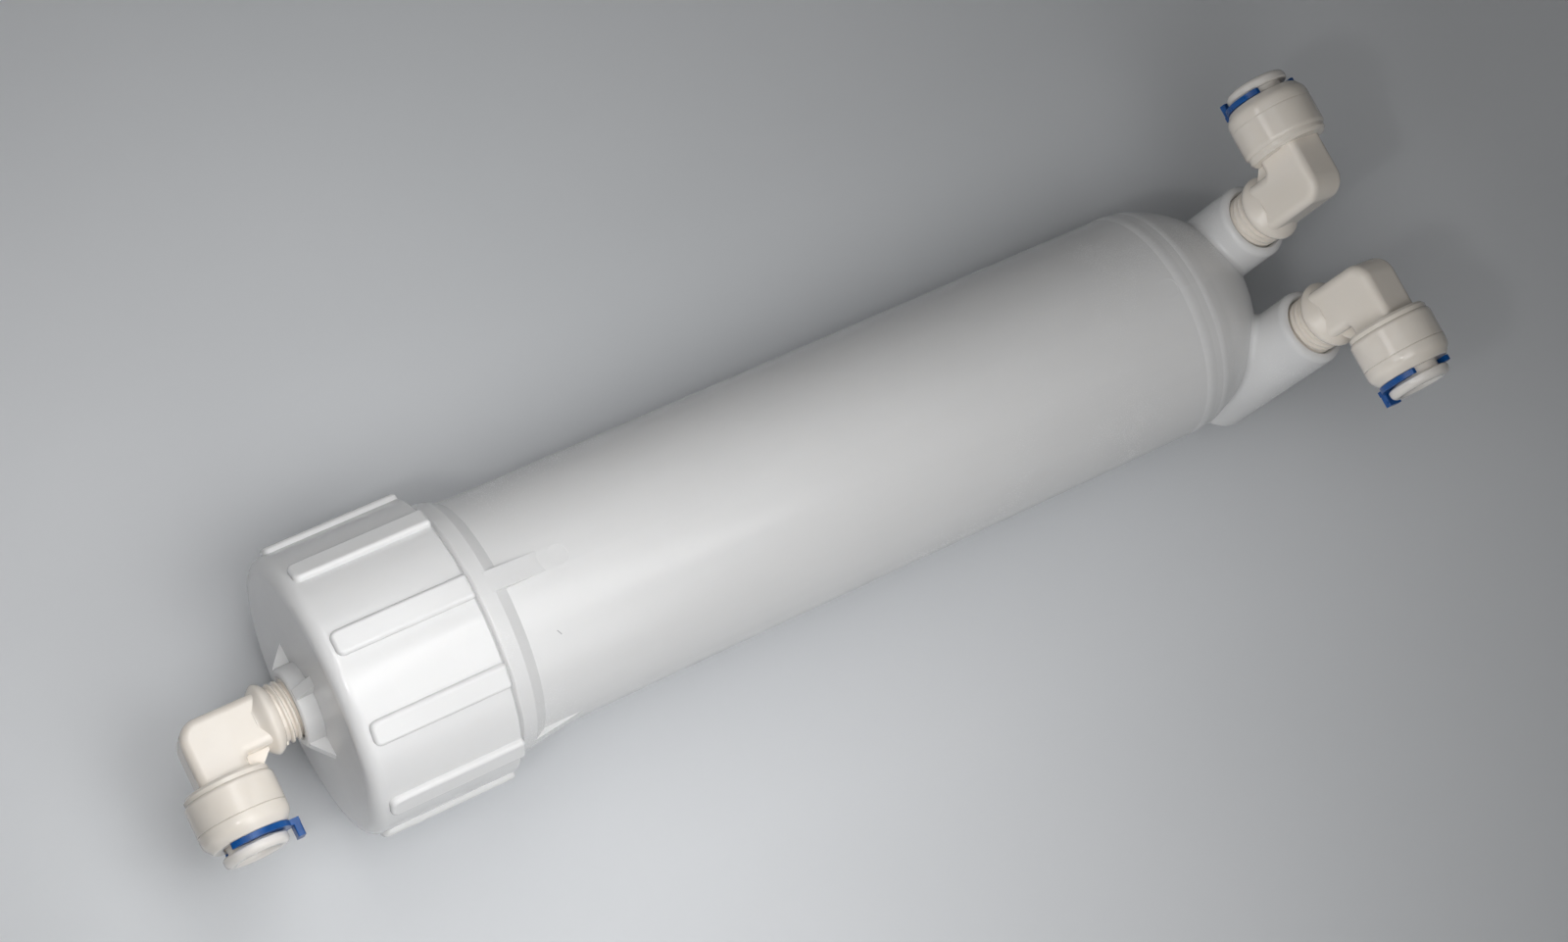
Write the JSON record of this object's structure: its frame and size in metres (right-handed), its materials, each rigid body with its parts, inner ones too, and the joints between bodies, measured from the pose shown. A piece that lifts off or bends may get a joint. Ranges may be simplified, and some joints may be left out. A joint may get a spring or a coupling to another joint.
{
  "type": "membrane pressure vessel",
  "caption": "White moulded pressure vessel for a wound membrane element, with a ribbed screw cap, two threaded ports across its domed end and push-in elbows.",
  "frame": {"origin": "on the vessel's axis near the middle of the plain tube, where the holding clips grip it", "axes": "+X along the vessel from the screw cap to the closed end, +Z towards the side that the two end ports face, +Y towards the permeate elbow's tube end"},
  "size_m": [0.4487, 0.1219, 0.1273],
  "materials": {
    "vessel_white": "semi-gloss moulded",
    "cap_white": "semi-gloss moulded",
    "elbow_white": "satin moulded",
    "collet_white": "satin moulded",
    "clip_blue": "satin moulded",
    "black_rubber": "smooth",
    "steel_teeth": "stamped",
    "tube_plastic": "extruded",
    "disc_plastic": "moulded",
    "membrane": "wound sheet",
    "wrap_tape": "wound tape"
  },
  "bodies": {
    "vessel": {"vessel_body": "vessel_white", "permeate_tube": "tube_plastic", "tube_plug": "tube_plastic", "membrane_roll": "membrane", "outer_wrap": "wrap_tape", "front_end_cap": "disc_plastic", "rear_end_cap": "disc_plastic", "brine_seal": "black_rubber", "stem_o_rings": "black_rubber"},
    "cap_seal": {"cap_o_ring": "black_rubber"},
    "cap": {"cap": "cap_white"},
    "feed_elbow": {"feed_elbow_body": "elbow_white", "feed_retaining_cap": "elbow_white", "feed_grip_ring": "steel_teeth", "feed_tube_o_ring": "black_rubber"},
    "feed_collet": {"feed_collet": "collet_white"},
    "feed_clip": {"feed_clip": "clip_blue"},
    "permeate_elbow": {"permeate_elbow_body": "elbow_white", "permeate_retaining_cap": "elbow_white", "permeate_grip_ring": "steel_teeth", "permeate_tube_o_ring": "black_rubber"},
    "permeate_collet": {"permeate_collet": "collet_white"},
    "permeate_clip": {"permeate_clip": "clip_blue"},
    "concentrate_elbow": {"concentrate_elbow_body": "elbow_white", "concentrate_retaining_cap": "elbow_white", "concentrate_grip_ring": "steel_teeth", "concentrate_tube_o_ring": "black_rubber"},
    "concentrate_collet": {"concentrate_collet": "collet_white"},
    "concentrate_clip": {"concentrate_clip": "clip_blue"}
  },
  "joints": [
    {"name": "cap_travel", "type": "slide", "parent": "vessel", "child": "cap_seal", "axis": [-1, 0, 0], "range_m": [0, 0.0181]},
    {"name": "cap_turn", "type": "hinge", "parent": "cap_seal", "child": "cap", "pos_m": [-0.175, 0, 0], "axis": [-1, 0, 0], "range_deg": [0, 1080]},
    {"name": "feed_elbow_out", "type": "slide", "parent": "cap", "child": "feed_elbow", "axis": [-1, 0, 0], "range_m": [0, 0.043]},
    {"name": "feed_collet_press", "type": "slide", "parent": "feed_elbow", "child": "feed_collet", "axis": [0, 1, 0], "range_m": [0, 0.0004]},
    {"name": "feed_clip_off", "type": "slide", "parent": "feed_elbow", "child": "feed_clip", "axis": [1, 0, 0], "range_m": [0, 0.016]},
    {"name": "permeate_elbow_out", "type": "slide", "parent": "vessel", "child": "permeate_elbow", "axis": [0.3289, 0, 0.9444], "range_m": [0, 0.043]},
    {"name": "permeate_collet_press", "type": "slide", "parent": "permeate_elbow", "child": "permeate_collet", "axis": [0, -1, 0], "range_m": [0, 0.0004]},
    {"name": "permeate_clip_off", "type": "slide", "parent": "permeate_elbow", "child": "permeate_clip", "axis": [-0.3289, 0, -0.9444], "range_m": [0, 0.016]},
    {"name": "concentrate_elbow_out", "type": "slide", "parent": "vessel", "child": "concentrate_elbow", "axis": [0.3289, 0, 0.9444], "range_m": [0, 0.043]},
    {"name": "concentrate_collet_press", "type": "slide", "parent": "concentrate_elbow", "child": "concentrate_collet", "axis": [0, 1, 0], "range_m": [0, 0.0004]},
    {"name": "concentrate_clip_off", "type": "slide", "parent": "concentrate_elbow", "child": "concentrate_clip", "axis": [-0.3289, 0, -0.9444], "range_m": [0, 0.016]}
  ],
  "couplings": [
    {"joint": "cap_travel", "follows": "cap_turn", "m_per_rad": 0.00095493}
  ]
}
